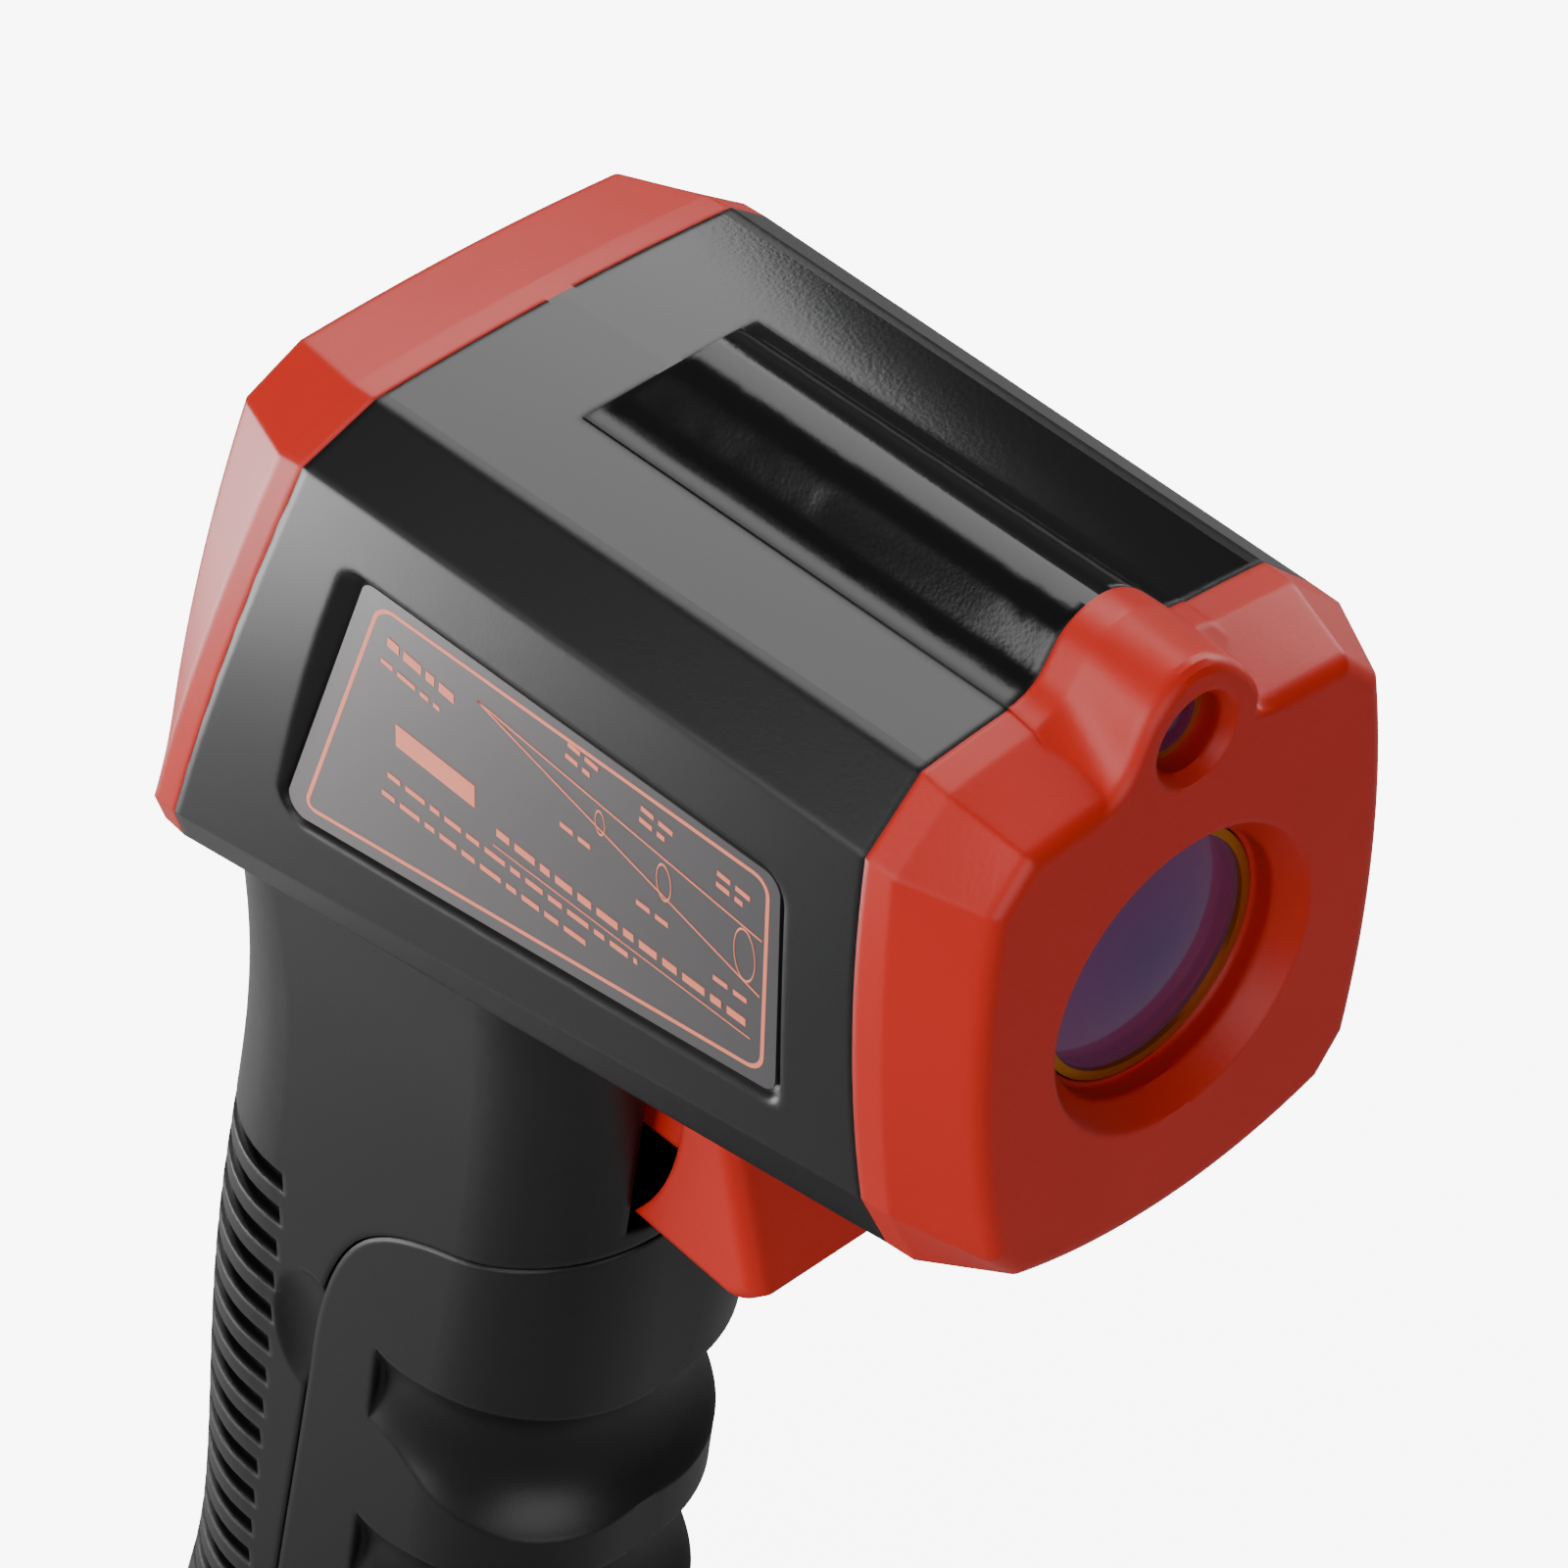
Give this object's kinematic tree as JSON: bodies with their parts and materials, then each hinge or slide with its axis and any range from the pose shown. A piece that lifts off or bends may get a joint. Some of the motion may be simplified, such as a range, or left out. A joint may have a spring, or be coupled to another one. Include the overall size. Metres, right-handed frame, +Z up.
{
  "type": "infrared thermometer",
  "caption": "Pistol-grip infrared thermometer with laser pointer, trigger, rear display and keys, and a battery door in the front of the grip.",
  "frame": {"origin": "centre of the bounding box on the plane of the grip's base", "axes": "+Z up, from the grip's base to the head; -Y is where the lens points; +X to the left of someone who holds and aims it"},
  "size_m": [0.0442, 0.1114, 0.1696],
  "materials": {
    "black_abs": "satin moulded ABS",
    "red_abs": "satin moulded ABS with a fine grain",
    "label_film": "printed polycarbonate film",
    "coated_lens": "coated infrared Fresnel window",
    "amber_ring": "amber anodised ring",
    "clear_window": "clear acrylic window",
    "lcd_glass": "liquid-crystal panel",
    "diffuser": "white light guide",
    "panel_abs": "fine satin ABS",
    "pcb": "green solder mask on glass epoxy",
    "chip_epoxy": "black moulding epoxy",
    "key_rubber": "silicone rubber",
    "membrane_rubber": "translucent silicone rubber",
    "steel": "plated steel",
    "spring_steel": "nickel-plated spring wire",
    "brass": "turned brass",
    "aluminium": "black anodised aluminium",
    "sensor_can": "gold-flashed steel can",
    "cell_wrap": "plain shrink sleeve"
  },
  "bodies": {
    "housing": {"right_housing": "black_abs", "left_housing": "black_abs", "front_bezel": "red_abs", "rear_bezel": "red_abs", "right_label": "label_film", "left_label": "label_film", "ir_lens": "coated_lens", "lens_retaining_ring": "amber_ring", "lens_tube": "aluminium", "ir_sensor": "sensor_can", "sensor_board": "pcb", "laser_lens": "coated_lens", "laser_ring": "amber_ring", "laser_module": "brass", "rear_panel": "panel_abs", "display_window": "clear_window", "lcd_holder": "diffuser", "lcd_panel": "lcd_glass", "backlight": "diffuser", "main_board": "pcb", "board_screws": "steel", "board_chips": "chip_epoxy", "buzzer": "chip_epoxy", "keypad_membrane": "membrane_rubber", "trigger_pin": "steel", "trigger_spring": "spring_steel", "trigger_switch": "chip_epoxy", "battery_tray": "panel_abs", "aaa_cells": "cell_wrap", "battery_contacts": "steel", "battery_springs": "spring_steel", "door_hinge_pin": "steel", "housing_screws": "steel"},
    "trigger": {"trigger": "red_abs"},
    "battery_door": {"battery_door": "black_abs"},
    "left_button": {"left_button": "key_rubber"},
    "mode_button": {"mode_button": "key_rubber"},
    "right_button": {"right_button": "key_rubber"}
  },
  "joints": [
    {"name": "trigger_pull", "type": "hinge", "parent": "housing", "child": "trigger", "pos_m": [0, -0.0136, 0.1172], "axis": [1, 0, 0], "range_deg": [0, 8], "stiffness_Nm_per_rad": 0.25, "springref_deg": -8.59},
    {"name": "door_swing", "type": "hinge", "parent": "housing", "child": "battery_door", "pos_m": [0, 0.0324, 0.0034], "axis": [1, 0, 0], "range_deg": [0, 75]},
    {"name": "left_key_press", "type": "slide", "parent": "housing", "child": "left_button", "axis": [0, -0.9135, -0.4067], "range_m": [0, 0.0008], "stiffness_N_per_m": 1200, "springref_m": -0.0003},
    {"name": "mode_key_press", "type": "slide", "parent": "housing", "child": "mode_button", "axis": [0, -0.9135, -0.4067], "range_m": [0, 0.0008], "stiffness_N_per_m": 1200, "springref_m": -0.0003},
    {"name": "right_key_press", "type": "slide", "parent": "housing", "child": "right_button", "axis": [0, -0.9135, -0.4067], "range_m": [0, 0.0008], "stiffness_N_per_m": 1200, "springref_m": -0.0003}
  ]
}
